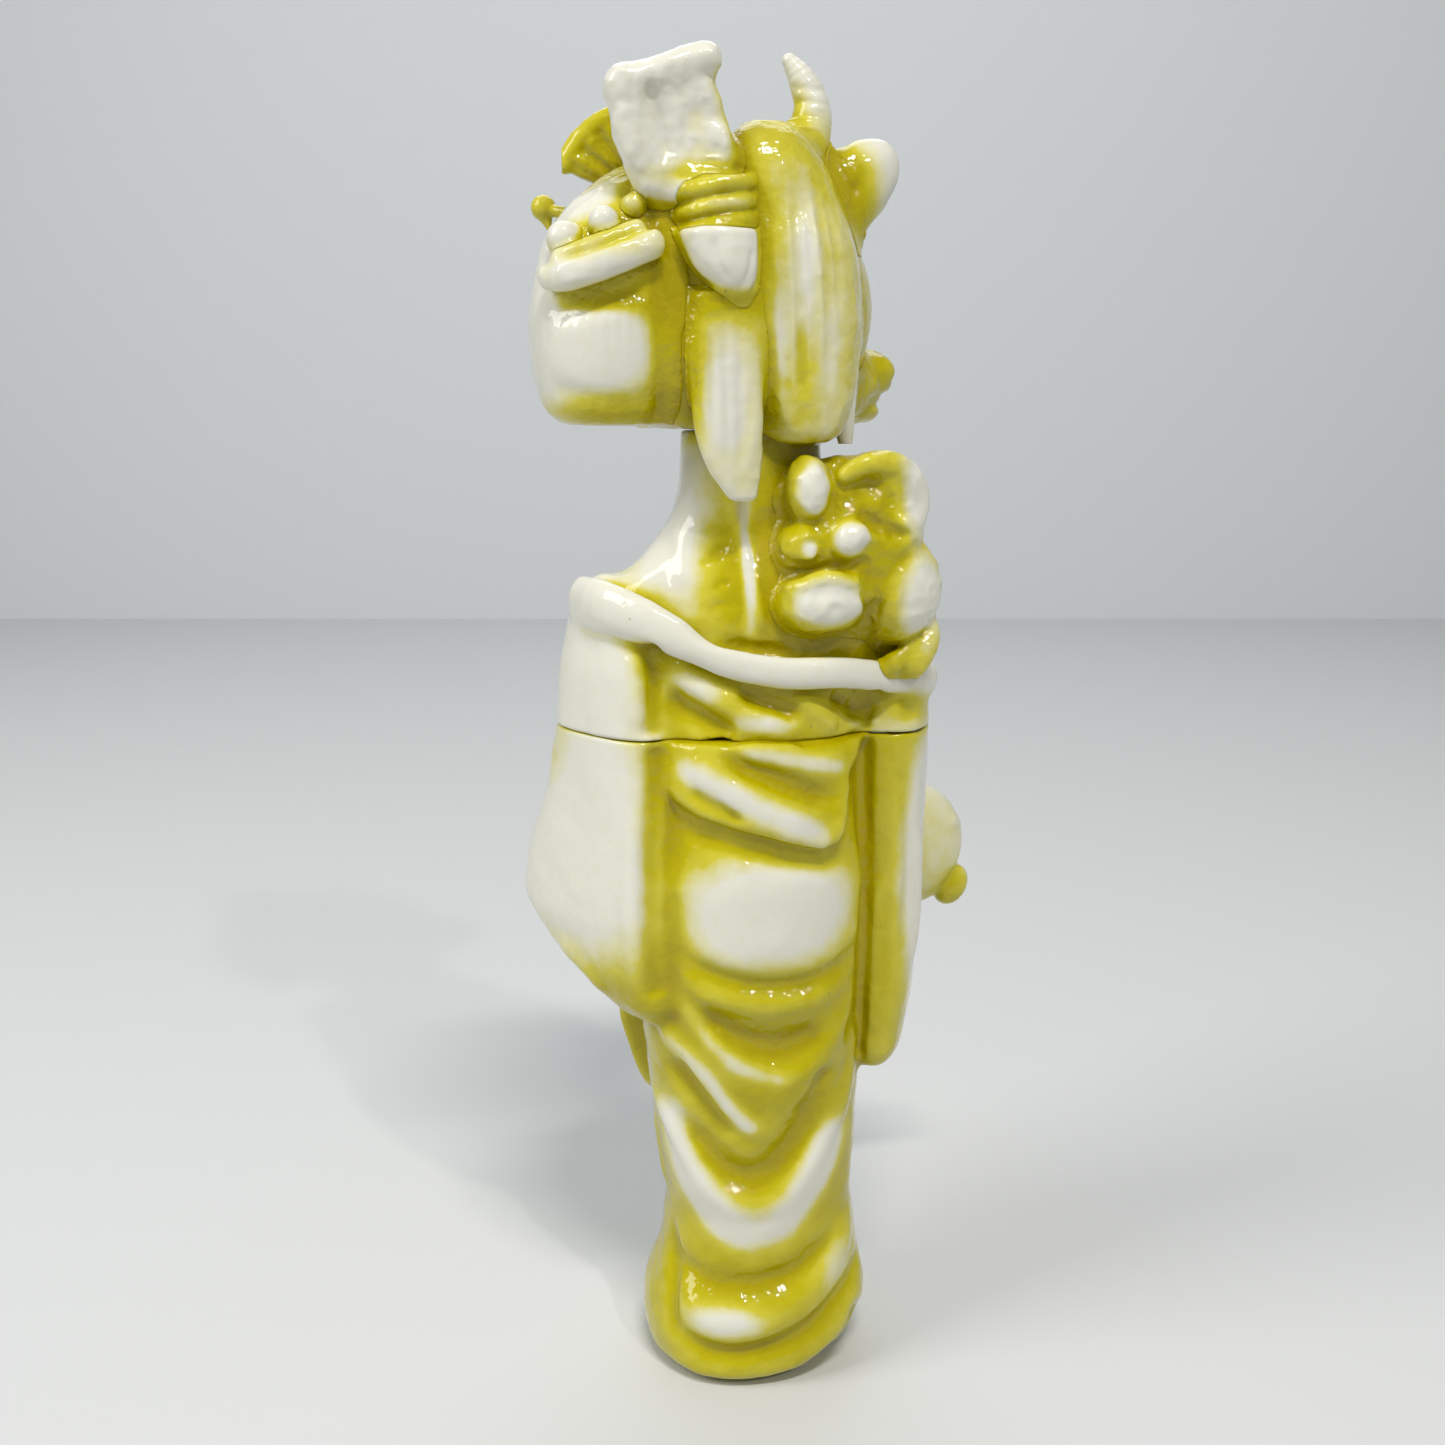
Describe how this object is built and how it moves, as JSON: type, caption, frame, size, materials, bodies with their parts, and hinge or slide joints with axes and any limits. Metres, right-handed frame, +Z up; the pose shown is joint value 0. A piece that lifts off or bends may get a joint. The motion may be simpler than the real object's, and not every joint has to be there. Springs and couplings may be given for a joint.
{
  "type": "vinyl art toy",
  "caption": "Standing soft-vinyl figurine of a kimono figure with two heads under one dressed hairdo; it turns at the waist and at the neck.",
  "frame": {"origin": "centre of the flat sole", "axes": "+Z up; the kimono's front faces -Y, so the figure's left is +X"},
  "size_m": [0.0619, 0.0386, 0.1591],
  "materials": {
    "kimono_vinyl": "glossy ivory vinyl with sprayed lemon to mustard shading",
    "skin_vinyl": "glossy ivory vinyl with sprayed lemon shading",
    "hair_vinyl": "glossy ivory vinyl with sprayed lemon shading and combed grain",
    "ornament_vinyl": "glossy mustard yellow paint over ivory vinyl"
  },
  "bodies": {
    "lower": {"kimono_lower": "kimono_vinyl", "front_bow": "kimono_vinyl", "left_hand": "skin_vinyl", "right_hand": "skin_vinyl"},
    "upper": {"kimono_upper": "kimono_vinyl", "back_curls": "hair_vinyl"},
    "head": {"head_shell": "skin_vinyl", "side_hair_wing": "hair_vinyl", "mane": "hair_vinyl", "nape_lock": "hair_vinyl", "hair_bun": "hair_vinyl", "hair_tie": "ornament_vinyl", "topknot": "hair_vinyl", "horn": "skin_vinyl", "ear": "skin_vinyl", "muzzle": "skin_vinyl", "comb": "ornament_vinyl", "comb_pearls": "ornament_vinyl", "hairpin": "ornament_vinyl", "fan_ornament": "ornament_vinyl"}
  },
  "joints": [
    {"name": "waist_turn", "type": "hinge", "parent": "lower", "child": "upper", "pos_m": [0, 0, 0.083], "axis": [0, 0, 1], "continuous": true},
    {"name": "neck_turn", "type": "hinge", "parent": "upper", "child": "head", "pos_m": [0.0005, 0, 0.118], "axis": [0, 0, 1], "range_deg": [-90, 10]}
  ]
}
